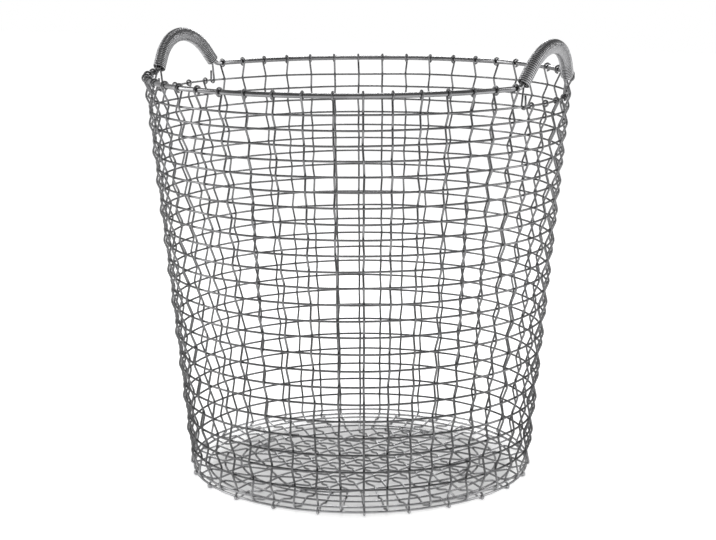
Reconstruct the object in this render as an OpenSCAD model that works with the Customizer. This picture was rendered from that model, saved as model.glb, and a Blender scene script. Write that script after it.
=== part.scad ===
// Round wire basket: a tapering bowl woven from steel wire, with a heavy rim rod that
// rises into two arched handles, each wrapped in a close coil of wire.
// The origin is on the ground, on the basket's axis. The handles lie along X.

/* [Bowl] */
// Radius of the rim, to the middle of its rod
rim_r = 240; // [225:1:255]
// Radius of the ring round the bottom, to the middle of its wire
foot_r = 196; // [190:1:205]
// Height of the middle of the rim rod above the ground
rim_h = 459.2; // [420:0.2:500]

/* [Wire] */
// Thickness of the rod that makes the rim and the two arches
rod_d = 5.6; // [5:0.1:6]
// Thickness of the wire that the bowl is woven from
wire_d = 2.4; // [2.2:0.05:2.5]
// Thickness of the ring round the bottom
ring_d = 2.8; // [2.4:0.1:3]
// Space between a wire and the hoop, ring or rod that it bends round
wire_gap = 0.3; // [0.25:0.05:0.4]
// Width of a through wire, seen across its bends, as a share of its thickness
wire_width_share = 0.8;
// Thickness of a through wire between the bottom ring and the mesh, as a share of the rest
stretch_share = 0.96;

/* [Wall] */
// Number of hoops in the wall, an odd number
hoop_n = 25; // [19:2:25]
// Drop from the rim rod to the top hoop
top_drop = 20.1; // [16:0.1:24]
// Height of the lowest hoop above the ground
low_hoop_h = 10; // [9.8:0.1:12]
// How much more each hoop is spaced than the one above it
hoop_spread = 0.19; // [0:0.01:0.3]
// How far round all the wall wires stand from an even setting, in degrees
stake_turn = 1.2; // [0:0.1:2]
// How much that turn changes from one side of the bowl to the other, in degrees
side_swing = 0.8; // [0:0.05:1]
// Where it is largest, counted round from the right handle, in degrees
side_swing_az = 220; // [210:1:230]
// How much it changes from the front and back to the handles, in degrees
front_swing = 1.35; // [0:0.05:1.5]
// Where it is largest at the back, in degrees
front_swing_az = 101; // [95:1:105]
// How much it changes three times round the bowl, in degrees
third_swing = 0.45; // [0:0.05:0.6]
// Where that is largest first, in degrees
third_swing_az = 67; // [60:1:74]
// How far round the curled tip of a wire goes, in degrees
curl_turn = 290; // [180:5:300]

/* [Bottom] */
// Number of through wires each way, an even number
run_n = 12; // [8:2:12]
// Width of the square mesh, between its outermost wires, as a share of the bottom ring's radius
mesh_width_share = 0.898; // [0.77:0.001:0.91]
// Space between two wires of the mesh where they cross
mesh_gap = 0.7; // [0.5:0.1:1]
// How far the mesh is turned from the diagonals of the handles, in degrees
mesh_turn = 3; // [0:0.5:6]
// Half the width of the innermost hoop, a square with round corners, as a share of that radius
inner_half_share = 0.5765; // [0.56:0.0005:0.59]
// Radius of the round corners of the innermost hoop, as a share of that radius
inner_corner_share = 0.3418; // [0.28:0.0002:0.4]
// Radius of the second hoop from the middle, as a share of that radius
hoop_2_share = 0.7194; // [0.71:0.0002:0.74]
// Radius of the third hoop from the middle, as a share of that radius
hoop_3_share = 0.8163; // [0.8:0.0001:0.83]
// Radius of the outermost hoop inside the bottom ring, as a share of that radius
hoop_4_share = 0.9133; // [0.9:0.0001:0.915]

/* [Handles] */
// Height of the arch above the rim, to the middle of its grip
handle_h = 40.2; // [37:0.2:44]
// Radius of the top of the arch, to the middle of its grip
handle_r = 62.6; // [60:0.2:66]
// How steeply the legs of the arch rise, in degrees
leg_rise = 51.7; // [50:0.1:56]
// How far the arches lean out, in degrees
handle_lean = 11.2; // [0:0.2:20]
// How far round the right handle stands from its place across the basket, in degrees
right_turn = -1.3; // [-1.4:0.1:1]
// The same for the left handle
left_turn = 0.4; // [-1:0.1:1.2]
// Radius of the bend where the rim rod turns up into a leg
bend_r = 8.5; // [6:0.5:10]
// How far up a leg the grip coil starts
coil_start = 5; // [5:0.5:9]
// Width of the grip coil in the plane of the arch, to the outside
coil_w = 16.2; // [16:0.1:18]
// Width of the grip coil across the arch, to the outside
coil_t = 14.2; // [13:0.1:16]
// Thickness of the wire of the grip coil
coil_wire_d = 2; // [1.8:0.05:2.1]
// Number of turns of the grip coil
coil_turns = 46; // [30:1:46]
// How far the rod lies from the middle of the coil, towards the outside of the arch
rod_shift = 2.5; // [2:0.1:2.5]
// How far the stay wire lies from the middle of the coil, towards the inside of the arch
stay_shift = 4.3; // [4:0.1:4.4]
// Height of the eye with which a stay wire holds the top hoop
eye_h = 12; // [8:0.5:13]
// Space between an eye and the curl next to it
eye_gap = 0.6; // [0.5:0.1:2]

/* [Hidden] */
$fn = 48;

// Parts of a turn and steps along the swept pieces
tube_sides = 6;
rod_sides = 8;
turn_steps = 8;
rim_steps = 48;
arch_steps = 16;
bend_steps = 5;
corner_steps = 8;
hook_steps = 6;
curl_steps = 14;

// Distances at which wires pass each other
crimp = wire_d + wire_gap;
ring_clear = (ring_d + wire_d) / 2 + wire_gap;
rim_curl_r = (rod_d + wire_d) / 2 + wire_gap;
hoop_curl_r = wire_d + 2 * wire_gap;
mesh_lift = (wire_d + mesh_gap) / 2;
join_l = wire_d / 2;

// Heights of the bottom ring, and of the hoops inside it
low_z = wire_d / 2;
ring_z = low_z + ring_clear;
base_z = low_z + crimp + wire_gap;

// Hoops of the wall, counted down from the top
step_n = hoop_n - 1;
wall_h = rim_h - top_drop - low_hoop_h;
first_step = (wall_h - hoop_spread * step_n * (step_n - 1) / 2) / step_n;
function hoop_z(i) = rim_h - top_drop - first_step * (i - 1) - hoop_spread * (i - 1) * (i - 2) / 2;
function wall_r(z) = foot_r + (rim_r - foot_r) * (z - ring_z) / (rim_h - ring_z);
function hoop_r(i) = wall_r(hoop_z(i));

// Wall ends of the through wires, counted round from the right handle
stake_n = 4 * run_n;
function even_az(k) = 360 * (k + 0.5) / stake_n;
function uneven(a) =
    stake_turn
    + side_swing * cos(a - side_swing_az)
    + front_swing * cos(2 * (a - front_swing_az))
    + third_swing * cos(3 * (a - third_swing_az));
function stake_az(k) = even_az(k) + uneven(even_az(k));
function out_side(k) = k % 2 == 1 ? 1 : -1;

// Square mesh of the bottom
mesh_az = 45 + mesh_turn;
mesh_w = foot_r * mesh_width_share;
inner_half_w = foot_r * inner_half_share;
inner_corner_r = foot_r * inner_corner_share;
hoop_2_r = foot_r * hoop_2_share;
hoop_3_r = foot_r * hoop_3_share;
hoop_4_r = foot_r * hoop_4_share;
mesh_pitch = mesh_w / (run_n - 1);
function mesh_off(i) = (i - (run_n - 1) / 2) * mesh_pitch;
corner_off = inner_half_w - inner_corner_r;
function inner_reach(v) =
    abs(v) <= corner_off ? inner_half_w
    : corner_off + sqrt(pow(inner_corner_r, 2) - pow(abs(v) - corner_off, 2));

// Arch of a handle: u is along the rim, v is up the leaning plane of the arch
arch_v = handle_h - handle_r;
function arch_foot_u(r) = r * sin(leg_rise) + (arch_v + r * cos(leg_rise)) / tan(leg_rise);
rod_arch_r = handle_r + rod_shift;
stay_arch_r = handle_r - stay_shift;
rod_foot_u = arch_foot_u(rod_arch_r);
rod_foot_az = asin(rod_foot_u / rim_r);
chord_x = rim_r * cos(rod_foot_az);
lean_up = [sin(handle_lean), 0, cos(handle_lean)];
lean_out = [cos(handle_lean), 0, -sin(handle_lean)];
function on_arch(u, v) = [chord_x, u, rim_h] + v * lean_up;

// Small functions on points and paths
function unit(v) = v / norm(v);
function reversed(v) = [for (i = [len(v) - 1 : -1 : 0]) v[i]];
function polar(r, a) = r * [cos(a), sin(a)];
function turned(p, a) = [p[0] * cos(a) - p[1] * sin(a), p[0] * sin(a) + p[1] * cos(a)];
function turned_path(path, a) = [for (p = path) let(q = turned(p, a)) [q[0], q[1], p[2]]];
function flat_of(p) = [p[0], p[1], 0];
function two_digits(n) = str(n < 10 ? "0" : "", n);

// Line at a distance s beside a flat path
function beside(path, s) = [
    for (i = [0 : len(path) - 1])
        let(last = len(path) - 1)
        let(before = unit(i == 0 ? path[1] - path[0] : path[i] - path[i - 1]))
        let(after = unit(i == last ? path[i] - path[i - 1] : path[i + 1] - path[i]))
        let(middle = unit(before + after))
        path[i] + s / (before * middle) * [-middle[1], middle[0]]
];

// Direction of a path at point i
function heading(path, i, closed) =
    let(n = len(path))
    let(next = i + 1 < n ? path[i + 1] : closed ? path[0] : path[i])
    let(last = i > 0 ? path[i - 1] : closed ? path[n - 1] : path[i])
    unit(next - last);

// Corners of the rings of a tube along a path, each started from its own direction across
function tube_points(path, across, d, sides, closed) = [
    for (i = [0 : len(path) - 1])
        let(t = heading(path, i, closed))
        let(a = unit(across[i] - (across[i] * t) * t))
        let(b = cross(t, a))
        for (k = [0 : sides - 1])
            let(turn = 360 * k / sides)
            path[i] + d / 2 * (cos(turn) * a + sin(turn) * b)
];

// Triangles that join those rings
function tube_faces(n, sides, closed) = [
    for (i = [0 : closed ? n - 1 : n - 2])
        for (k = [0 : sides - 1])
            let(here = i * sides)
            let(there = (i + 1) % n * sides)
            let(k2 = (k + 1) % sides)
            for (half = [0, 1])
                half == 0 ? [here + k, there + k, there + k2] : [here + k, there + k2, here + k2]
];

// Triangles that close the two ends of an open tube
function end_faces(n, sides) = [
    for (k = [1 : sides - 2])
        for (end = [0, n - 1])
            let(first = end * sides)
            end == 0 ? [first, first + k, first + k + 1] : [first, first + k + 1, first + k]
];

module tube(path, across, d, sides, closed = false) {
    n = len(path);
    faces = concat(tube_faces(n, sides, closed), closed ? [] : end_faces(n, sides));
    polyhedron(tube_points(path, across, d, sides, closed), faces);
}

// Flat-sided bar along a path drawn in a standing plane, which the wire's bends lie in
module bar(path, d = wire_d) {
    rotate([90, 0, 0])
        linear_extrude(height = d * wire_width_share, center = true)
            polygon(concat(beside(path, d / 2), reversed(beside(path, -d / 2))));
}

// Closed ring of round wire
module ring(r, z, d) {
    translate([0, 0, z]) rotate_extrude() translate([r, 0]) circle(d = d);
}

// Bend from direction a to direction b at a corner, as points of a round turn
function bend(corner, a, b, r) =
    let(turn = acos(a * b))
    let(side = unit(b - (b * a) * a))
    let(start = corner - r * tan(turn / 2) * a)
    [for (i = [0 : bend_steps])
        let(t = turn * i / bend_steps)
        start + r * (sin(t) * a + (1 - cos(t)) * side)];

// Arch of radius r in the leaning plane, from the leg at -u to the leg at +u
function arch(r) = [
    for (i = [0 : arch_steps])
        let(t = leg_rise * (2 * i / arch_steps - 1))
        on_arch(r * sin(t), arch_v + r * cos(t))
];

// Where a handle stands, counted round from the right, for side 1 and side -1
function handle_az(side) = side > 0 ? right_turn : 180 + left_turn;

// Rim rod: at each handle it bends up, goes over the arch and bends down again
rise_dir = cos(leg_rise) * [0, 1, 0] + sin(leg_rise) * lean_up;
function mirrored_y(path) = [for (p = reversed(path)) [p[0], -p[1], p[2]]];
foot_bend = bend(on_arch(-rod_foot_u, 0), [sin(rod_foot_az), cos(rod_foot_az), 0], rise_dir, bend_r);
handle_rod = concat(foot_bend, arch(rod_arch_r), mirrored_y(foot_bend));
bend_az = atan2(-foot_bend[0][1], foot_bend[0][0]);
function rim_arc(from, to) = [
    for (i = [1 : rim_steps - 1])
        let(p = polar(rim_r, from + (to - from) * i / rim_steps))
        [p[0], p[1], rim_h]
];
rim_path = concat(
    turned_path(handle_rod, handle_az(1)),
    rim_arc(handle_az(1) + bend_az, handle_az(-1) - bend_az),
    turned_path(handle_rod, handle_az(-1)),
    rim_arc(handle_az(-1) + bend_az, handle_az(1) + 360 - bend_az)
);

module rim_rod() {
    color("dimgray") tube(rim_path, [for (p = rim_path) flat_of(p)], rod_d, rod_sides, true);
}

module foot_ring() {
    color("gray") ring(foot_r, ring_z, ring_d);
}

module wall_hoop(i) {
    color("darkgray") ring(hoop_r(i), hoop_z(i), wire_d);
}

module round_base_hoop(r) {
    color("darkgray") ring(r, base_z, wire_d);
}

module inner_base_hoop() {
    path = [
        for (q = [0 : 3])
            for (i = [0 : corner_steps])
                let(flat = [corner_off, corner_off] + polar(inner_corner_r, 90 * i / corner_steps))
                let(p = turned(flat, 90 * q + mesh_az))
                [p[0], p[1], base_z]
    ];
    color("darkgray") tube(path, [for (p = path) [0, 0, 1]], wire_d, tube_sides, true);
}

// Where wall wire k turns in under or over the bottom ring
join_r = foot_r - ring_clear - join_l;
function join_z(k) = out_side(k) > 0 ? low_z : ring_z + ring_d / 2;

// Bends of wall wire k in its own upright plane, from the bottom ring up to hoop i
function foot_bends(k) = concat(
    [[join_r - join_l, join_z(k)]],
    out_side(k) > 0 ? [[foot_r + ring_clear, low_z]] : [],
    [[foot_r + out_side(k) * ring_clear, ring_z + ring_d / 2],
     [hoop_r(hoop_n) - out_side(k) * crimp, low_hoop_h - wire_d / 2]]
);
function wave_point(k, i) = [hoop_r(i) + out_side(k) * (i % 2 == 0 ? crimp : -crimp), hoop_z(i)];
function wall_bends(k, i) = concat(foot_bends(k), [for (j = [hoop_n : -1 : i]) wave_point(k, j)]);

// How far round wall wire k stands from the middle of a handle
function from_handle(k, side) =
    let(a = stake_az(k) - handle_az(side))
    a - 360 * round(a / 360);

// Wires that stand under a handle curl round the top hoop, the others round the rim rod
under_az = bend_az + asin(wire_d / 2 / rim_r);
function under_handle(k) = min([for (side = [1, -1]) abs(from_handle(k, side))]) < under_az;

// Wall wire that ends in a curl of radius r round a middle c, past hoop i, on side s of it
module curled_wire(k, i, c, r, s) {
    bends = wall_bends(k, i);
    from = bends[len(bends) - 1] - c;
    touch = atan2(from[1], from[0]) + s * acos(r / norm(from));
    curl = [for (j = [0 : curl_steps]) c + polar(r, touch + s * curl_turn * j / curl_steps)];
    rotate([0, 0, stake_az(k)]) bar(concat(bends, curl));
}

module wall_wire(k) {
    if (under_handle(k))
        curled_wire(k, 2, [hoop_r(1), hoop_z(1)], hoop_curl_r, -out_side(k));
    else
        curled_wire(k, 1, [rim_r, rim_h], rim_curl_r, out_side(k));
}

// Height at which a through wire passes a base hoop or a mesh wire, above it or below it
function pass_z(lift, above) = base_z + (above ? lift : -lift);

// Distance along a line from p in direction d at which it comes in to radius r
function way_to(p, d, r) = -(p * d) - sqrt(pow(p * d, 2) - (p * p - r * r));

// Stretch of through wire i of one way, from wall wire k at its end 1 or -1 to the innermost hoop
module base_run(i, k, end, way) {
    low = out_side(k) > 0;
    from = polar(join_r, stake_az(k));
    to = turned([end * inner_reach(mesh_off(i)), mesh_off(i)], mesh_az + 90 * way);
    dir = unit(to - from);
    length = norm(to - from);
    path = [
        [-join_l, join_z(k)],
        [join_l, join_z(k)],
        [way_to(from, dir, hoop_4_r), pass_z(crimp, low)],
        [way_to(from, dir, hoop_3_r), pass_z(crimp, !low)],
        [way_to(from, dir, hoop_2_r), pass_z(crimp, low)],
        [length - join_l, pass_z(crimp, !low)],
        [length + join_l, pass_z(crimp, !low)]
    ];
    translate([from[0], from[1], 0])
        rotate([0, 0, atan2(dir[1], dir[0])])
            bar(path, wire_d * stretch_share);
}

// Stretch of through wire i across the mesh, over and under the wires of the other way
module mesh_stretch(i, low) {
    reach = inner_reach(mesh_off(i));
    crossings = [
        for (j = [run_n - 1 : -1 : 0])
            [mesh_off(j), pass_z(mesh_lift, (run_n - 1 - j) % 2 == 0 ? low : !low)]
    ];
    path = concat(
        [[reach + join_l, pass_z(crimp, !low)], [reach - join_l, pass_z(crimp, !low)]],
        crossings,
        [[join_l - reach, pass_z(crimp, low)], [-join_l - reach, pass_z(crimp, low)]]
    );
    rotate([0, 0, mesh_az]) translate([0, mesh_off(i), 0]) bar(path);
}

// Through wire i of the first way: both wall ends, both base stretches and the mesh
// Its ends are wall wires k1 and k2, and way turns it by 90 degrees for the second way
module through_wire(i, way) {
    k1 = i + way * run_n;
    k2 = 3 * run_n - 1 - i + way * run_n;
    color("gray") {
        wall_wire(k1);
        wall_wire(k2);
        base_run(i, k1, 1, way);
        base_run(i, k2, -1, way);
        rotate([0, 0, 90 * way]) mesh_stretch(i, out_side(k1) > 0);
    }
}

// Middle line of a grip coil: place in the arch's plane at a way m from its top
arc_half = handle_r * leg_rise * PI / 180;
leg_l = (arch_v + handle_r * cos(leg_rise)) / sin(leg_rise) - coil_start;
coil_l = 2 * (arc_half + leg_l);
function arch_turn(m) = max(-leg_rise, min(leg_rise, m / handle_r * 180 / PI));
function arch_place(m) =
    let(t = arch_turn(m))
    let(past = m - t * PI / 180 * handle_r)
    handle_r * [sin(t), cos(t)] + [0, arch_v] + past * [cos(t), -sin(t)];

// Grip coil: one wire wound round rod and stay, with both its ends run out straight
coil_a = (coil_w - coil_wire_d) / 2;
coil_b = (coil_t - coil_wire_d) / 2;
function coil_spoke(j) =
    let(m = coil_l * (j / (coil_turns * turn_steps) - 0.5))
    let(t = arch_turn(m))
    let(turn = 360 * j / turn_steps)
    coil_a * cos(turn) * ([0, sin(t), 0] + cos(t) * lean_up) + coil_b * sin(turn) * lean_out;
function coil_point(j) =
    let(q = arch_place(coil_l * (j / (coil_turns * turn_steps) - 0.5)))
    on_arch(q[0], q[1]) + coil_spoke(j);
coil_n = coil_turns * turn_steps;
coil_line = [for (j = [0 : coil_n]) coil_point(j)];
coil_spokes = [for (j = [0 : coil_n]) coil_spoke(j)];
coil_path = concat(
    [coil_line[0] + coil_wire_d * unit(coil_line[0] - coil_line[1])],
    coil_line,
    [coil_line[coil_n] + coil_wire_d * unit(coil_line[coil_n] - coil_line[coil_n - 1])]
);
coil_across = concat([coil_spokes[0]], coil_spokes, [coil_spokes[coil_n]]);
coil_gap = min([
    for (i = [0 : coil_n - turn_steps])
        for (j = [i + turn_steps / 2 : min(coil_n, i + 3 * turn_steps / 2)])
            norm(coil_line[i] - coil_line[j])
]) - coil_wire_d;
echo(least_gap_of_a_coil_to_itself = coil_gap);

module handle_coil(side) {
    color("silver") rotate([0, 0, handle_az(side)]) tube(coil_path, coil_across, coil_wire_d, tube_sides);
}

// Stay wire: along the inside of the coil, with an eye round the top hoop at each end
// An eye hangs under its end of the arch, or beside the last curl there if that is farther out
stay_foot = on_arch(arch_foot_u(stay_arch_r), 0);
eye_turn = asin((wire_d * (1 + wire_width_share) / 2 + eye_gap) / rim_r);
function last_curl(side, end) = max([
    for (k = [0 : stake_n - 1])
        let(a = end * from_handle(k, side))
        if (abs(a) < under_az) a
]);
function eye_az(side, end) =
    end * max(atan2(stay_foot[1], stay_foot[0]), last_curl(side, end) + eye_turn);
function by_hoop(r, z, a) =
    let(p = polar(hoop_r(1) + r, a))
    [p[0], p[1], hoop_z(1) + z];
function stay_eye(a) = concat(
    [by_hoop(crimp - wire_gap, eye_h, a), by_hoop(crimp, eye_h / 2, a)],
    [for (i = [0 : hook_steps])
        let(b = -180 * i / hook_steps)
        by_hoop(crimp * cos(b), crimp * sin(b), a)]
);
function stay_path(side) = concat(
    stay_eye(eye_az(side, -1)),
    mirrored_y([stay_foot]),
    arch(stay_arch_r),
    [stay_foot],
    reversed(stay_eye(eye_az(side, 1)))
);
function across_stay(p, t) =
    p[1] == 0 ? lean_out : p[1] < 0 ? cross([0, 1, 0], t) : cross(t, [0, 1, 0]);

module handle_stay(side) {
    path = stay_path(side);
    across = [for (i = [0 : len(path) - 1]) across_stay(path[i], heading(path, i, false))];
    color("gray") rotate([0, 0, handle_az(side)]) tube(path, across, wire_d, tube_sides);
}

// Names of the pieces that repeat
function wall_hoop_name(i) = str("wall_hoop_", two_digits(i));
function through_wire_name(i, way) = str("through_wire_", way == 0 ? "a_" : "b_", two_digits(i + 1));

rim_rod();
foot_ring();
inner_base_hoop();  // base_hoop_1
round_base_hoop(hoop_2_r);  // base_hoop_2
round_base_hoop(hoop_3_r);  // base_hoop_3
round_base_hoop(hoop_4_r);  // base_hoop_4
for (i = [1 : hoop_n])
    wall_hoop(i);
for (way = [0, 1])
    for (i = [0 : run_n - 1])
        through_wire(i, way);
handle_coil(1);  // handle_coil_right
handle_coil(-1);  // handle_coil_left
handle_stay(1);  // handle_stay_right
handle_stay(-1);  // handle_stay_left
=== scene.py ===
"""Looks of a round wire basket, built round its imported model.

Every wire is a round tube carried along its real path: the hoops, the wires that run down the
wall, over the bottom and up the other side, the rim rod with its two arches, and the wire coils
that wrap the arches. Lengths are in metres, and angles in radians unless a comment says degrees.
"""
from math import acos, asin, atan2, cos, pi, radians, sin, sqrt, tan

import bpy
import numpy as np
from mathutils import Matrix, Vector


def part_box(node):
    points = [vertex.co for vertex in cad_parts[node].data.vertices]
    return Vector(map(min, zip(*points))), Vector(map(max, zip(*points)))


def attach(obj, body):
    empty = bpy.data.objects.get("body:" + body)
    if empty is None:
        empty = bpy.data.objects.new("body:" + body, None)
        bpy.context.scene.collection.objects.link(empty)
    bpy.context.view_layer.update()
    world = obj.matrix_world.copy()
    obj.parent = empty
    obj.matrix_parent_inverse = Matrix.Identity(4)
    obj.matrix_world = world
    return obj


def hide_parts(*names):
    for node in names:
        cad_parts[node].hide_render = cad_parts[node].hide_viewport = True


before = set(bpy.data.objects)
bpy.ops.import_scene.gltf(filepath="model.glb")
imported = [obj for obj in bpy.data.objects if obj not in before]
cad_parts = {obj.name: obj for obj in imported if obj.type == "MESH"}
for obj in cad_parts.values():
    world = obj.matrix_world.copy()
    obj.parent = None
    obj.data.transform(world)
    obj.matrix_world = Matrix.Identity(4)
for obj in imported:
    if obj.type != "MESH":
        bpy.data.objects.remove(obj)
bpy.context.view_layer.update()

# The photograph's view: the camera's place, tilt and lens
IMAGE_W = 716
FOCAL_PX = 1816.6
SENSOR_W = 36.0
CAMERA_AWAY = 2.072
CAMERA_H = 0.645
CAMERA_TILT = radians(11.263)
CAMERA_ROLL = radians(-0.327)
CAMERA_AZ = radians(28.05)
CAMERA_PAN = radians(0.045)

# The weave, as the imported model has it: hoops, through wires each way, wall wires, the space
# between wires that touch, and the curl at the tip of a wire
HOOP_N = 25
RUN_N = 12
STAKE_N = 4 * RUN_N
WIRE_GAP = 0.0003
WIRE_WIDTH_SHARE = 0.8
CURL_TURN = radians(290)

# How far the wall wires stand past an even setting, in degrees: all of them alike, and one, two
# and three waves round the bowl, each with the place where it is largest
STAKE_TURN = 1.2
SIDE_SWING = 0.8
SIDE_SWING_AZ = 220
FRONT_SWING = 1.35
FRONT_SWING_AZ = 101
THIRD_SWING = 0.45
THIRD_SWING_AZ = 67

# The square mesh of the bottom, and the square hoop with round corners in its middle
MESH_AZ = radians(48)
MESH_W = 0.176
MESH_LIFT = 0.0018
INNER_HALF_W = 0.113
INNER_CORNER_R = 0.067

# The arches of the handles: the rod, the grip coil round it, and the stay wire with its eyes
ROD_R = 0.0028
ARCH_H = 0.0402
ARCH_R = 0.0626
LEG_RISE = radians(51.7)
LEAN = radians(11.2)
RIGHT_TURN = radians(-1.3)
LEFT_TURN = radians(0.4)
BEND_R = 0.0085
COIL_START = 0.005
COIL_A = 0.0071
COIL_B = 0.0061
COIL_WIRE_R = 0.001
COIL_TURNS = 61
ROD_SHIFT = 0.0025
STAY_SHIFT = 0.0043
EYE_H = 0.012
EYE_GAP = 0.0006

# How finely the tubes are made
WIRE_SIDES = 8
RING_SIDES = 12
ROD_SIDES = 20
HOOP_STEPS = 192
CORNER_STEPS = 13
CURL_STEPS = 22
EYE_STEPS = 13
ARCH_STEPS = 40
ROD_BEND_STEPS = 10
RIM_STEPS = 120
TURN_STEPS = 20

# Soft bends of the woven wires: how far along the wire a bend reaches, at most which share of the
# stretch beside it, and how much farther out its corner lies because rounding draws the bend in
BEND_STEPS = 5
BEND_REACH = 0.0032
BEND_SHARE = 0.45
BEND_DRAW = 0.0004

# Unevenness of hand work
HOOP_WAVE = 0.0005
HOOP_WAVE_COUNTS = (2, 3, 5, 9)
HOOP_WAVE_SHARES = (0.2, 1.0)
STAKE_WOBBLE = 0.0004
rng = np.random.default_rng(7)

# The look of the steel: slow patches of grey, fine drawn lines, painted shade between close turns, and
# the heights where its grey changes: the bottom painted lighter for the overhead light it reflects
PATCH_SCALE = 35
PATCH_DETAIL = 6
PATCH_RANGE = (0.35, 0.68)
COOL_TINT = 1.02
LINE_SCALE = (60, 18, 1)
LINE_DETAIL = 4
LINE_ROUGH = (-0.08, 0.1)
LINE_BUMP = 0.25
LINE_DEPTH = 0.0001
FLANK_FROM = 0.4
GREY_HEIGHTS = (0.008, 0.03, 0.3)

# The dimmer room in front of the basket, as the steel shows it, and the light from all round
ROOM_RISE = 1.0
ROOM_EDGE = (-0.8, 0.1)
ROOM_LEVEL = 0.22
ROUND_LIGHT = 0.70

# The white floor, and the pale grey patch of painted shadow under the basket's bottom
FLOOR_HALF = 6.0
FLOOR_ROUGH = 0.9
FLOOR_GREYS = (0.34, 0.80)
FLOOR_GLOWS = (0.40, 0.50)
SHADOW_PATCH_R = 0.178
SHADOW_PATCH_EDGE = 0.008
SHADOW_PATCH_SHIFT = 0.012

# Soft lamps: name, place, target, size and power
LAMPS = (
    ("top_softbox", (-0.1, 0.1, 1.7), (0, 0, 0.2), (0.5, 0.5), 2),
    ("back_softbox", (-0.56, 1.06, 1.05), (0, 0, 0.1), (0.35, 0.35), 5),
    ("left_softbox", (-1.6, -0.6, 0.9), (0, 0, 0.25), (0.4, 1.4), 8),
    ("right_softbox", (1.5, 0.9, 0.9), (0, 0, 0.25), (0.4, 1.4), 8),
)


def extent(node):
    """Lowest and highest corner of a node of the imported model, as arrays."""
    low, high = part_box(node)
    return np.array(low), np.array(high)


def ring_size(node):
    """Radius and height of the middle line of a level ring, and the radius of its wire."""
    low, high = extent(node)
    wire = (high[2] - low[2]) / 2
    return max(high[0] - low[0], high[1] - low[1]) / 2 - wire, (high[2] + low[2]) / 2, wire


def hoop_name(i):
    """Node of wall hoop i, counted down from the top."""
    return f"wall_hoop_{i:02d}"


HOOPS = [ring_size(hoop_name(i)) for i in range(1, HOOP_N + 1)]
WIRE_R = HOOPS[0][2]
FOOT_R, FOOT_Z, FOOT_WIRE_R = ring_size("foot_ring")
BASE_HOOPS = {n: ring_size(f"base_hoop_{n}") for n in (2, 3, 4)}
BASE_Z = BASE_HOOPS[2][1]
RIM_R = extent("rim_rod")[1][1] - ROD_R
RIM_Z = extent("rim_rod")[0][2] + ROD_R

CRIMP = 2 * WIRE_R + WIRE_GAP
WALL_CRIMP = CRIMP + BEND_DRAW
FOOT_CLEAR = FOOT_WIRE_R + WIRE_R + WIRE_GAP
RIM_CURL_R = ROD_R + WIRE_R + WIRE_GAP
HOOP_CURL_R = 2 * WIRE_R + 2 * WIRE_GAP
UP = np.array([0.0, 0.0, 1.0])


def unit(v):
    """Vectors at length one, along the last axis."""
    return v / np.linalg.norm(v, axis=-1, keepdims=True)


def polar(r, a):
    """Level point at distance r from the axis, at angle a."""
    return np.array([r * cos(a), r * sin(a)])


def turned(p, a):
    """Level point turned by angle a about the axis."""
    return np.array([p[0] * cos(a) - p[1] * sin(a), p[0] * sin(a) + p[1] * cos(a)])


def soften(points):
    """Path with round corners: each corner P becomes the curve (1-t)^2 A + 2t(1-t) P + t^2 B,
    from A on the stretch before it to B on the stretch after it, each at most BEND_REACH away."""
    before = points[:-2] - points[1:-1]
    after = points[2:] - points[1:-1]
    corner = points[1:-1, None, :]

    def start(side):
        length = np.linalg.norm(side, axis=1, keepdims=True)
        return points[1:-1] + side * np.minimum(BEND_REACH / length, BEND_SHARE)

    t = np.linspace(0, 1, BEND_STEPS)[None, :, None]
    curve = (1 - t) ** 2 * start(before)[:, None] + 2 * t * (1 - t) * corner + t ** 2 * start(after)[:, None]
    return np.vstack([points[:1], curve.reshape(-1, points.shape[1]), points[-1:]])


def headings(path, closed):
    """Direction at each point of a path, along the line between its two neighbours."""
    if closed:
        return unit(np.roll(path, -1, axis=0) - np.roll(path, 1, axis=0))
    return unit(np.gradient(path, axis=0))


def tube(name, path, across, radius, sides, closed=False):
    """Tube: point (i, k) is path[i] + radius (cos a_k side_i + sin a_k top_i), with a_k = 2 pi k / sides.
    side_i is across[i] squared to the path's direction, and top_i squares both."""
    n = len(path)
    t = headings(path, closed)
    across = np.broadcast_to(across, path.shape)
    side = unit(across - np.sum(across * t, axis=1, keepdims=True) * t)
    top = np.cross(t, side)
    a = 2 * pi * np.arange(sides)[None, :, None] / sides
    grid = path[:, None] + radius * (np.cos(a) * side[:, None] + np.sin(a) * top[:, None])
    rows = n if closed else n - 1
    i, k = np.meshgrid(np.arange(rows), np.arange(sides), indexing="ij")
    i, k = i.ravel(), k.ravel()
    i2, k2 = (i + 1) % n, (k + 1) % sides
    quads = np.stack([i * sides + k, i * sides + k2, i2 * sides + k2, i2 * sides + k], axis=1)
    length = np.concatenate([[0], np.cumsum(np.linalg.norm(np.diff(path, axis=0), axis=1))])
    step = length[-1] / max(n - 1, 1)
    u = np.stack([length[i], length[i], length[i] + step, length[i] + step], axis=1)
    v = np.stack([k, k + 1, k + 1, k], axis=1) / sides
    verts = grid.reshape(-1, 3)
    faces = quads.tolist()
    uv = np.stack([u, v], axis=2).reshape(-1, 2)
    if not closed:
        faces += [list(range(sides))[::-1], list(range((n - 1) * sides, n * sides))]
        uv = np.vstack([uv, np.zeros((2 * sides, 2))])
    mesh = bpy.data.meshes.new(name)
    mesh.from_pydata(verts.tolist(), [], faces)
    mesh.uv_layers.new(name="wrap").data.foreach_set("uv", uv.ravel())
    mesh.polygons.foreach_set("use_smooth", np.array([len(f) == 4 for f in faces]))
    mesh.update()
    obj = bpy.data.objects.new(name, mesh)
    bpy.context.collection.objects.link(obj)
    return obj


def finish_piece(obj, node, material):
    """Puts a piece in the place of its node, on the one body that the basket has."""
    obj.data.materials.append(material)
    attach(obj, "root")
    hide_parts(node)


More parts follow.
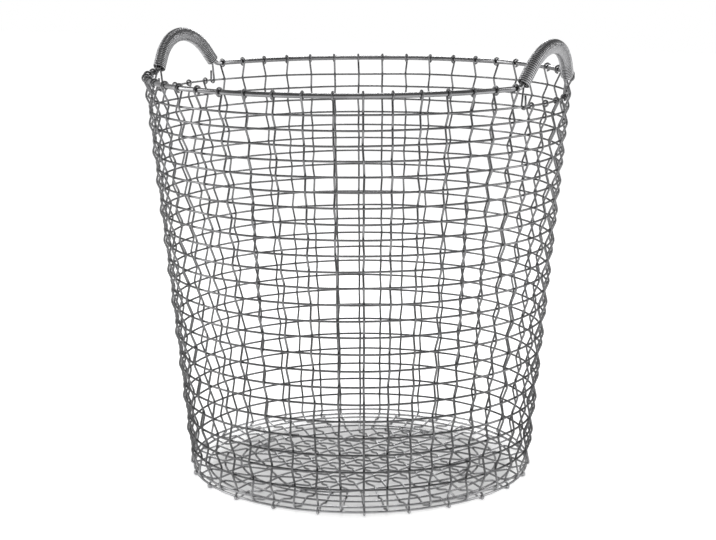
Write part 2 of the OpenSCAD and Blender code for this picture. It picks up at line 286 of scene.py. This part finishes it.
# Paths of the hoops, with the slight waves of hand work
hoop_phase = rng.uniform(0, 2 * pi, (HOOP_N + 1, len(HOOP_WAVE_COUNTS)))
hoop_share = rng.uniform(*HOOP_WAVE_SHARES, (HOOP_N + 1, len(HOOP_WAVE_COUNTS)))


def hoop_wave(i, a):
    """Rise and fall of hoop i at angle a: half the sum of 2, 3, 5 and 9 waves round it."""
    parts = zip(hoop_share[i], HOOP_WAVE_COUNTS, hoop_phase[i])
    waves = [share * np.sin(count * a + phase) for share, count, phase in parts]
    return HOOP_WAVE * sum(waves) / 2


def ring_path(r, z):
    """Level circle of radius r at height z, and the angle of each of its points."""
    a = 2 * pi * np.arange(HOOP_STEPS) / HOOP_STEPS
    return np.stack([r * np.cos(a), r * np.sin(a), np.broadcast_to(z, a.shape)], axis=1), a


def make_hoops(material):
    """The hoops of the wall."""
    for i, (r, z, wire) in enumerate(HOOPS, 1):
        path, a = ring_path(r, z)
        path[:, 2] += hoop_wave(i, a)
        piece = tube(f"hoop_{i:02d}", path, UP, wire, WIRE_SIDES, closed=True)
        finish_piece(piece, hoop_name(i), material)


def make_foot_ring(material):
    """The ring round the bottom."""
    path, _ = ring_path(FOOT_R, FOOT_Z)
    piece = tube("bottom_ring", path, UP, FOOT_WIRE_R, RING_SIDES, closed=True)
    finish_piece(piece, "foot_ring", material)


def make_base_hoops(material):
    """The three round hoops inside the bottom ring, and the square one in the middle."""
    for n, (r, z, wire) in BASE_HOOPS.items():
        path, _ = ring_path(r, z)
        piece = tube(f"bottom_hoop_{n}", path, UP, wire, WIRE_SIDES, closed=True)
        finish_piece(piece, f"base_hoop_{n}", material)
    corner = INNER_HALF_W - INNER_CORNER_R
    a = np.linspace(0, pi / 2, CORNER_STEPS)
    arc = np.stack([corner + INNER_CORNER_R * np.cos(a), corner + INNER_CORNER_R * np.sin(a)])
    quarters = [turned(arc, MESH_AZ + q * pi / 2).T for q in range(4)]
    flat = np.vstack(quarters)
    path = np.column_stack([flat, np.full(len(flat), BASE_Z)])
    piece = tube("bottom_hoop_1", path, UP, WIRE_R, WIRE_SIDES, closed=True)
    finish_piece(piece, "base_hoop_1", material)


def even_az(k):
    """Angle of wall wire k in an even setting."""
    return 2 * pi * (k + 0.5) / STAKE_N


def uneven(a):
    """How far a wall wire stands past its even setting a: a steady turn, and one, two and three
    waves round the bowl."""
    one = SIDE_SWING * cos(a - radians(SIDE_SWING_AZ))
    two = FRONT_SWING * cos(2 * (a - radians(FRONT_SWING_AZ)))
    three = THIRD_SWING * cos(3 * (a - radians(THIRD_SWING_AZ)))
    return radians(STAKE_TURN + one + two + three)


def stake_az(k):
    """Angle of wall wire k."""
    return even_az(k) + uneven(even_az(k))


def out_side(k):
    """1 for a wall wire that passes outside the bottom ring, -1 for one that passes inside it."""
    return 1 if k % 2 else -1


def curl(middle, first, r, s):
    """Tip of a wire curled round a rod, and the point where it leaves that curl.
    The curl is the circle middle + r (cos a, sin a), and the wire leaves it along the tangent
    through the point first."""
    away = first - middle
    touch = atan2(away[1], away[0]) + s * acos(r / np.linalg.norm(away))
    a = touch + s * CURL_TURN * np.linspace(1, 0, CURL_STEPS)
    return middle + r * np.stack([np.cos(a), np.sin(a)], axis=1)


def upright(points, az):
    """Points (distance from the axis, height) in the upright plane at angle az."""
    return np.column_stack([points[:, 0] * cos(az), points[:, 0] * sin(az), points[:, 1]])


# Where the wires leave the bottom ring and set off across the bottom
JOIN_R = FOOT_R - FOOT_CLEAR - WIRE_R


def wall_half(k):
    """Wall wire k from its curled tip to its turn at the bottom ring: its curl, and its corners."""
    s, az = out_side(k), stake_az(k)
    under_handle = min(abs(from_handle(k, side)) for side in (1, -1)) < UNDER_AZ
    corners = [
        [r - (s if i % 2 else -s) * WALL_CRIMP, z + hoop_wave(i, az)]
        for i, (r, z, _) in enumerate(HOOPS, 1)
    ]
    last_r, last_z, _ = HOOPS[-1]
    corners += [[last_r - s * CRIMP, last_z - WIRE_R], [FOOT_R + s * FOOT_CLEAR, FOOT_Z + FOOT_WIRE_R]]
    if s > 0:
        corners += [[FOOT_R + FOOT_CLEAR, WIRE_R]]
    corners = np.array(corners)
    if under_handle:
        corners = corners[1:]
        middle = np.array([HOOPS[0][0], HOOPS[0][1] + hoop_wave(1, az)])
        tip = curl(middle, corners[0], HOOP_CURL_R, -s)
    else:
        tip = curl(np.array([RIM_R, RIM_Z]), corners[0], RIM_CURL_R, s)
    wobble = rng.normal(0, STAKE_WOBBLE, len(corners)) / RIM_R
    wobble[-3:] = 0  # the turn at the bottom ring stays in its place
    flat = np.column_stack([corners, az + wobble])
    lines = np.column_stack([flat[:, 0] * np.cos(flat[:, 2]), flat[:, 0] * np.sin(flat[:, 2]), flat[:, 1]])
    return upright(tip, az), lines


def inner_reach(v):
    """How far the innermost hoop, a square with round corners, reaches at offset v."""
    corner = INNER_HALF_W - INNER_CORNER_R
    if abs(v) <= corner:
        return INNER_HALF_W
    return corner + sqrt(INNER_CORNER_R ** 2 - (abs(v) - corner) ** 2)


def mesh_off(i):
    """Distance of through wire i from the middle of the mesh."""
    return (i - (RUN_N - 1) / 2) * MESH_W / (RUN_N - 1)


def way_to(p, d, r):
    """Distance along a level line from p in direction d at which it comes in to radius r."""
    return -(p @ d) - sqrt((p @ d) ** 2 - (p @ p - r * r))


def base_half(i, k, end, way):
    """Corners of a through wire from wall wire k to the innermost hoop."""
    low = out_side(k) > 0
    start = polar(JOIN_R, stake_az(k))
    stop = turned([end * inner_reach(mesh_off(i)), mesh_off(i)], MESH_AZ + way * pi / 2)
    d = unit(stop - start)
    z0 = WIRE_R if low else FOOT_Z + FOOT_WIRE_R
    ways = [0.0] + [way_to(start, d, BASE_HOOPS[n][0]) for n in (4, 3, 2)] + [np.linalg.norm(stop - start)]
    lift = CRIMP if low else -CRIMP
    heights = [z0, BASE_Z + lift, BASE_Z - lift, BASE_Z + lift, BASE_Z - lift]
    return np.array([[*(start + d * w), z] for w, z in zip(ways, heights)])


def mesh_corners(i, low, way):
    """Corners of a through wire where it passes over and under the wires of the other way."""
    u = np.array([mesh_off(j) for j in range(RUN_N - 1, -1, -1)])
    lift = np.where(np.arange(RUN_N) % 2 == 0, 1, -1) * (MESH_LIFT if low else -MESH_LIFT)
    flat = turned(np.stack([u, np.full(RUN_N, mesh_off(i))]), MESH_AZ + way * pi / 2)
    return np.column_stack([flat.T, BASE_Z + lift])


def through_path(i, way):
    """Whole path of a through wire, tip to tip, and the level direction across it at each point."""
    k1, k2 = i + way * RUN_N, 3 * RUN_N - 1 - i + way * RUN_N
    tip1, wall1 = wall_half(k1)
    tip2, wall2 = wall_half(k2)
    base1, base2 = base_half(i, k1, 1, way), base_half(i, k2, -1, way)
    mesh = mesh_corners(i, out_side(k1) > 0, way)
    corners = np.vstack([tip1[-1:], wall1, base1, mesh, base2[::-1], wall2[::-1], tip2[-1:]])
    path = soften(corners)
    level = np.zeros((len(corners), 3))
    inward, outward = polar(-1, stake_az(k1)), polar(1, stake_az(k2))
    level[: len(wall1) + 1, :2] = inward
    level[-len(wall2) - 1:, :2] = outward
    middle = slice(len(wall1) + 1, len(corners) - len(wall2) - 1)
    level[middle, :2] = unit(np.gradient(corners[:, :2], axis=0)[middle])
    level = np.vstack([level[:1], np.repeat(level[1:-1], BEND_STEPS, axis=0), level[-1:]])
    path = np.vstack([tip1[:-1], path, tip2[-2::-1]])
    first, last = np.repeat(level[:1], len(tip1) - 1, axis=0), np.repeat(level[-1:], len(tip2) - 1, axis=0)
    return path, np.cross(UP, np.vstack([first, level, last]))


def make_through_wires(material):
    """The wires of the wall and the bottom, in both ways of the mesh."""
    for way, letter in enumerate("ab"):
        for i in range(RUN_N):
            path, across = through_path(i, way)
            piece = tube(f"wire_{letter}_{i + 1:02d}", path, across, WIRE_R, WIRE_SIDES)
            finish_piece(piece, f"through_wire_{letter}_{i + 1:02d}", material)


# Arches: u runs along the rim, v up the leaning plane of the arch
ARCH_V = ARCH_H - ARCH_R
LEAN_UP = np.array([sin(LEAN), 0, cos(LEAN)])
LEAN_OUT = np.array([cos(LEAN), 0, -sin(LEAN)])


def arch_foot_u(r):
    """Place along the rim where the leg of an arch of radius r comes down to the rim."""
    return r * sin(LEG_RISE) + (ARCH_V + r * cos(LEG_RISE)) / tan(LEG_RISE)


ROD_FOOT_AZ = asin(arch_foot_u(ARCH_R + ROD_SHIFT) / RIM_R)
CHORD_X = RIM_R * cos(ROD_FOOT_AZ)


def on_arch(u, v):
    """Points at u along the rim and v up the arch's plane."""
    u, v = np.atleast_1d(u), np.atleast_1d(v)
    return np.array([CHORD_X, 0, RIM_Z]) + u[:, None] * np.array([0, 1.0, 0]) + v[:, None] * LEAN_UP


def arch(r):
    """Arc of radius r over the arch, from the leg at -u to the leg at +u."""
    t = np.linspace(-LEG_RISE, LEG_RISE, ARCH_STEPS)
    return on_arch(r * np.sin(t), ARCH_V + r * np.cos(t))


def mirrored(path):
    """Path mirrored across the handle's middle and run the other way."""
    return path[::-1] * [1, -1, 1]


def rod_bend():
    """Round turn of radius BEND_R from the rim's direction a up to the leg's direction b:
    start + r (sin t a + (1 - cos t) s), where s is b squared to a."""
    corner = on_arch(-arch_foot_u(ARCH_R + ROD_SHIFT), 0)[0]
    a = np.array([sin(ROD_FOOT_AZ), cos(ROD_FOOT_AZ), 0])
    b = cos(LEG_RISE) * np.array([0, 1, 0]) + sin(LEG_RISE) * LEAN_UP
    angle = acos(a @ b)
    side = unit(b - (b @ a) * a)
    t = np.linspace(0, angle, ROD_BEND_STEPS)[:, None]
    return corner - BEND_R * tan(angle / 2) * a + BEND_R * (np.sin(t) * a + (1 - np.cos(t)) * side)


BEND_AZ = atan2(-rod_bend()[0][1], rod_bend()[0][0])
UNDER_AZ = BEND_AZ + asin(WIRE_R / RIM_R)


def handle_az(side):
    """Angle at which a handle stands, the right one for side 1 and the left one for side -1."""
    return RIGHT_TURN if side > 0 else pi + LEFT_TURN


def turned_path(path, a):
    """Path turned by angle a about the axis."""
    return np.column_stack([turned(path.T[:2], a).T, path[:, 2]])


def from_handle(k, side):
    """How far round wall wire k stands from the middle of a handle."""
    a = stake_az(k) - handle_az(side)
    return a - 2 * pi * round(a / (2 * pi))


def rim_arc(start, stop):
    """Rim between two angles: a level arc of the rim's radius."""
    a = np.linspace(start, stop, RIM_STEPS + 2)[1:-1]
    return np.stack([RIM_R * np.cos(a), RIM_R * np.sin(a), np.full(len(a), RIM_Z)], axis=1)


def make_rim(material):
    """The rim rod: two arches and the two level arcs between them."""
    bend = rod_bend()
    rod = np.vstack([bend, arch(ARCH_R + ROD_SHIFT), mirrored(bend)])
    right, left = handle_az(1), handle_az(-1)
    path = np.vstack([
        turned_path(rod, right), rim_arc(right + BEND_AZ, left - BEND_AZ),
        turned_path(rod, left), rim_arc(left + BEND_AZ, right + 2 * pi - BEND_AZ)])
    piece = tube("rim", path, path * [1, 1, 0], ROD_R, ROD_SIDES, closed=True)
    finish_piece(piece, "rim_rod", material)


def coil_path():
    """Grip coil: middle line m along the arch, plus A cos q in the arch's plane and B sin q across it."""
    arc_half = ARCH_R * LEG_RISE
    leg = (ARCH_V + ARCH_R * cos(LEG_RISE)) / sin(LEG_RISE) - COIL_START
    n = COIL_TURNS * TURN_STEPS
    m = np.linspace(-arc_half - leg, arc_half + leg, n + 1)
    t = np.clip(m / ARCH_R, -LEG_RISE, LEG_RISE)
    past = m - t * ARCH_R
    u = ARCH_R * np.sin(t) + past * np.cos(t)
    v = ARCH_V + ARCH_R * np.cos(t) - past * np.sin(t)
    q = 2 * pi * np.arange(n + 1) / TURN_STEPS
    rise = np.stack([np.zeros_like(t), np.sin(t), np.zeros_like(t)], axis=1) + np.cos(t)[:, None] * LEAN_UP
    spoke = COIL_A * np.cos(q)[:, None] * rise + COIL_B * np.sin(q)[:, None] * LEAN_OUT
    return on_arch(u, v) + spoke, spoke


def eye_az(side, end):
    """Angle of a stay's eye from the handle's middle: under the end of the arch, or beside the last
    curl there if that is farther out."""
    foot = on_arch(arch_foot_u(ARCH_R - STAY_SHIFT), 0)[0]
    curls = [end * from_handle(k, side) for k in range(STAKE_N) if abs(from_handle(k, side)) < UNDER_AZ]
    beside = asin(((1 + WIRE_WIDTH_SHARE) * WIRE_R + EYE_GAP) / RIM_R)
    return end * max(atan2(foot[1], foot[0]), max(curls) + beside)


def stay_path(side):
    """Stay wire: an eye round the top hoop, a leg, the inside of the arch, and the same again."""
    r = ARCH_R - STAY_SHIFT
    foot = on_arch(arch_foot_u(r), 0)
    a = np.linspace(0, -pi, EYE_STEPS)
    loop = np.stack([CRIMP * np.cos(a), CRIMP * np.sin(a)], axis=1)
    eye = np.vstack([[[CRIMP - WIRE_GAP, EYE_H], [CRIMP, EYE_H / 2]], loop]) + HOOPS[0][:2]
    first, last = upright(eye, eye_az(side, -1)), upright(eye, eye_az(side, 1))
    path = np.vstack([first, mirrored(foot), arch(r), foot, last[::-1]])
    level = np.where(path[:, 1:2] < 0, 1, -1) * np.cross([0, 1.0, 0], headings(path, False))
    level[np.abs(path[:, 1]) < WIRE_GAP] = LEAN_OUT
    return path, level


def make_handles(coil_material, stay_material):
    """The grip coil and the stay wire of each handle."""
    path, spoke = coil_path()
    for name, side in (("right", 1), ("left", -1)):
        az = handle_az(side)
        coil, out = turned_path(path, az), turned_path(spoke, az)
        piece = tube(f"grip_coil_{name}", coil, out, COIL_WIRE_R, WIRE_SIDES)
        finish_piece(piece, f"handle_coil_{name}", coil_material)
        stay, across = (turned_path(line, az) for line in stay_path(side))
        piece = tube(f"stay_{name}", stay, across, WIRE_R, WIRE_SIDES)
        finish_piece(piece, f"handle_stay_{name}", stay_material)


def plain(level, tint=1.0):
    """Grey of the given level, its blue times tint."""
    return level, level, level * tint, 1


def add_node(tree, kind, inputs=(), operation=None):
    """New node of a tree, with the values of its inputs."""
    node = tree.nodes.new("ShaderNode" + kind)
    if operation:
        node.operation = operation
    for name, value in dict(inputs).items():
        node.inputs[name].default_value = value
    return node


def ramp_node(tree, stops):
    """Ramp that turns a value into a colour. The stops are pairs of a value and its colour."""
    node = add_node(tree, "ValToRGB")
    elements = node.color_ramp.elements
    elements[0].position, elements[1].position = stops[0][0], stops[-1][0]
    for value, _ in stops[1:-1]:
        elements.new(value)
    for element, (_, colour) in zip(elements, stops):
        element.color = colour
    return node


def steel(name, dark, light, rough, edge, seed, flank=1.0, heights=(1.0, 1.0, 1.0)):
    """Drawn steel wire: fine lines run along each wire, and its grey changes slowly over the basket,
    from dark to light. Its roughness is rough, and its brightness at a grazing angle is edge.
    On the sides of the wire, where close turns face each other, the grey falls to the share flank: painted
    shade between the turns.
    It keeps the three shares heights at the bottom, low on the wall and high on the wall: the bottom is
    painted lighter for the overhead light its wires reflect, and the wall is darker low than high."""
    mat = bpy.data.materials.new(name)
    mat.use_nodes = True
    tree = mat.node_tree
    link = tree.links.new
    shader = tree.nodes["Principled BSDF"]
    shader.inputs["Metallic"].default_value = 1.0
    shader.inputs["Specular Tint"].default_value = plain(edge)

    # Slow patches of grey
    place = add_node(tree, "TexCoord")
    shift = add_node(tree, "Mapping", {"Location": (seed, seed / 2, seed / 3)})
    patina = add_node(tree, "TexNoise", {"Scale": PATCH_SCALE, "Detail": PATCH_DETAIL})
    greys = plain(dark, COOL_TINT), plain(light, COOL_TINT)
    grey = ramp_node(tree, tuple(zip(PATCH_RANGE, greys)))
    link(place.outputs["Object"], shift.inputs["Vector"])
    link(shift.outputs["Vector"], patina.inputs["Vector"])
    link(patina.outputs["Fac"], grey.inputs["Fac"])

    # Painted shade on the sides: the grey is darkened where close turns face each other; the cosine of the
    # way round the wire is 1 on its open side
    wrap = add_node(tree, "UVMap")
    wrap.uv_map = "wrap"
    round_wire = add_node(tree, "SeparateXYZ")
    turn = add_node(tree, "Math", {1: 2 * pi}, "MULTIPLY")
    facing = add_node(tree, "Math", operation="COSINE")
    open_side = add_node(tree, "MapRange", {"From Min": FLANK_FROM, "To Min": flank})
    turn_gap_shade = add_node(tree, "VectorMath", operation="SCALE")
    link(wrap.outputs["UV"], round_wire.inputs["Vector"])
    link(round_wire.outputs["Y"], turn.inputs[0])
    link(turn.outputs["Value"], facing.inputs[0])
    link(facing.outputs["Value"], open_side.inputs["Value"])
    link(grey.outputs["Color"], turn_gap_shade.inputs["Vector"])
    link(open_side.outputs["Result"], turn_gap_shade.inputs["Scale"])

    # Painted light by height: the bottom is painted lighter for the overhead light its wires reflect, and
    # the wall is darker low than high
    rise = add_node(tree, "SeparateXYZ")
    wall = ramp_node(tree, tuple(zip(GREY_HEIGHTS, (plain(share) for share in heights))))
    painted_height_light = add_node(tree, "VectorMath", operation="MULTIPLY")
    link(place.outputs["Object"], rise.inputs["Vector"])
    link(rise.outputs["Z"], wall.inputs["Fac"])
    link(turn_gap_shade.outputs["Vector"], painted_height_light.inputs[0])
    link(wall.outputs["Color"], painted_height_light.inputs[1])
    link(painted_height_light.outputs["Vector"], shader.inputs["Base Color"])

    # Fine lines along the wire
    stretch = add_node(tree, "Mapping", {"Scale": LINE_SCALE})
    lines = add_node(tree, "TexNoise", {"Scale": 1, "Detail": LINE_DETAIL})
    low, high = (rough + change for change in LINE_ROUGH)
    dull = add_node(tree, "MapRange", {"To Min": low, "To Max": high})
    bump = add_node(tree, "Bump", {"Strength": LINE_BUMP, "Distance": LINE_DEPTH})
    link(wrap.outputs["UV"], stretch.inputs["Vector"])
    link(stretch.outputs["Vector"], lines.inputs["Vector"])
    link(lines.outputs["Fac"], dull.inputs["Value"])
    link(dull.outputs["Result"], shader.inputs["Roughness"])
    link(lines.outputs["Fac"], bump.inputs["Height"])
    link(bump.outputs["Normal"], shader.inputs["Normal"])
    return mat


# The heights paint the bottom lighter for the overhead light its wires reflect; flank paints shade between
# the coil's turns
wire_finish = steel(
    "wire_drawn_steel", dark=0.38, light=0.53, rough=0.27, edge=0.45, seed=1.0, heights=(1.0, 0.31, 0.53))
hoop_finish = steel(
    "hoop_drawn_steel", dark=0.35, light=0.50, rough=0.27, edge=0.45, seed=2.0, heights=(1.0, 0.31, 0.52))
rod_finish = steel("rim_rod_steel", dark=0.24, light=0.34, rough=0.22, edge=0.7, seed=3.0)
coil_finish = steel("grip_coil_steel", dark=0.47, light=0.56, rough=0.28, edge=0.7, seed=4.0, flank=0.2)

make_hoops(hoop_finish)
make_foot_ring(wire_finish)
make_base_hoops(hoop_finish)
make_through_wires(wire_finish)
make_rim(rod_finish)
make_handles(coil_finish, wire_finish)


def make_camera():
    """Camera at the photograph's place: turned to the basket, tilted down, and rolled a little."""
    data = bpy.data.cameras.new("camera")
    data.lens = FOCAL_PX / IMAGE_W * SENSOR_W
    data.sensor_width = SENSOR_W
    camera = bpy.data.objects.new("camera", data)
    camera.location = (CAMERA_AWAY * sin(CAMERA_AZ), -CAMERA_AWAY * cos(CAMERA_AZ), CAMERA_H)
    swing = Matrix.Rotation(CAMERA_AZ + CAMERA_PAN, 3, "Z")
    tilt = Matrix.Rotation(pi / 2 - CAMERA_TILT, 3, "X")
    camera.rotation_euler = (swing @ tilt @ Matrix.Rotation(CAMERA_ROLL, 3, "Z")).to_euler()
    bpy.context.collection.objects.link(camera)
    bpy.context.scene.camera = camera


def make_floor():
    """White floor with a pale grey patch of painted shadow under the basket's bottom."""
    size = FLOOR_HALF
    corners = [(-size, -size, 0), (size, -size, 0), (size, size, 0), (-size, size, 0)]
    mesh = bpy.data.meshes.new("floor")
    mesh.from_pydata(corners, [], [(0, 1, 2, 3)])
    floor = bpy.data.objects.new("floor", mesh)
    bpy.context.collection.objects.link(floor)
    mat = bpy.data.materials.new("floor")
    mat.use_nodes = True
    tree = mat.node_tree
    link = tree.links.new
    shader = tree.nodes["Principled BSDF"]
    shader.inputs["Roughness"].default_value = FLOOR_ROUGH
    shader.inputs["Specular IOR Level"].default_value = 0.0
    shader.inputs["Emission Strength"].default_value = 1.0
    place = add_node(tree, "TexCoord")
    # The round patch is a painted shadow under the basket: inside it the floor is greyer and glows less
    shift = (-SHADOW_PATCH_SHIFT * sin(CAMERA_AZ), SHADOW_PATCH_SHIFT * cos(CAMERA_AZ), 0)
    middle = add_node(tree, "Mapping", {"Location": shift})
    away = add_node(tree, "VectorMath", operation="LENGTH")
    edge = {"From Min": SHADOW_PATCH_R - SHADOW_PATCH_EDGE, "From Max": SHADOW_PATCH_R + SHADOW_PATCH_EDGE}
    shadow_patch = add_node(tree, "MapRange", edge)
    link(place.outputs["Object"], middle.inputs["Vector"])
    link(middle.outputs["Vector"], away.inputs[0])
    link(away.outputs["Value"], shadow_patch.inputs["Value"])
    for levels, name in ((FLOOR_GREYS, "Base Color"), (FLOOR_GLOWS, "Emission Color")):
        shade = ramp_node(tree, ((0, plain(levels[0])), (1, plain(levels[1]))))
        link(shadow_patch.outputs["Result"], shade.inputs["Fac"])
        link(shade.outputs["Color"], shader.inputs[name])
    mesh.materials.append(mat)


def make_world():
    """White backdrop to the eye. The steel shows the white backdrop behind the basket and the
    dimmer room in front of it, and the light from all round is a plain grey."""
    world = bpy.data.worlds.new("studio")
    bpy.context.scene.world = world
    world.use_nodes = True
    tree = world.node_tree
    link = tree.links.new
    back = tree.nodes["Background"]
    back.inputs["Color"].default_value = plain(1)
    ray = add_node(tree, "LightPath")
    place = add_node(tree, "TexCoord")
    front = add_node(tree, "VectorMath", {1: (sin(CAMERA_AZ), -cos(CAMERA_AZ), ROOM_RISE)}, "DOT_PRODUCT")
    edge = {"From Min": ROOM_EDGE[0], "From Max": ROOM_EDGE[1], "To Min": 1.0, "To Max": ROOM_LEVEL}
    room = add_node(tree, "MapRange", edge)
    room.interpolation_type = "SMOOTHSTEP"
    level = add_node(tree, "MapRange", {"To Min": ROUND_LIGHT})
    seen = add_node(tree, "Math", operation="MAXIMUM")
    shown = add_node(tree, "MapRange", {"To Max": 1.0})
    link(place.outputs["Generated"], front.inputs[0])
    link(front.outputs["Value"], room.inputs["Value"])
    link(ray.outputs["Is Glossy Ray"], level.inputs["Value"])
    link(room.outputs["Result"], level.inputs["To Max"])
    link(ray.outputs["Is Camera Ray"], seen.inputs[0])
    link(ray.outputs["Is Transmission Ray"], seen.inputs[1])
    link(seen.outputs["Value"], shown.inputs["Value"])
    link(level.outputs["Result"], shown.inputs["To Min"])
    link(shown.outputs["Result"], back.inputs["Strength"])


def make_lamp(name, place, target, size, power):
    """Flat soft lamp at place, turned to face target."""
    data = bpy.data.lights.new(name, "AREA")
    data.shape = "RECTANGLE"
    data.size, data.size_y = size
    data.energy = power
    lamp = bpy.data.objects.new(name, data)
    lamp.location = place
    way = np.array(target) - np.array(place)
    lamp.rotation_euler = (acos(-way[2] / np.linalg.norm(way)), 0, atan2(way[1], way[0]) - pi / 2)
    bpy.context.collection.objects.link(lamp)


bpy.context.scene.view_settings.view_transform = "Standard"
make_camera()
make_floor()
make_world()
for lamp in LAMPS:
    make_lamp(*lamp)
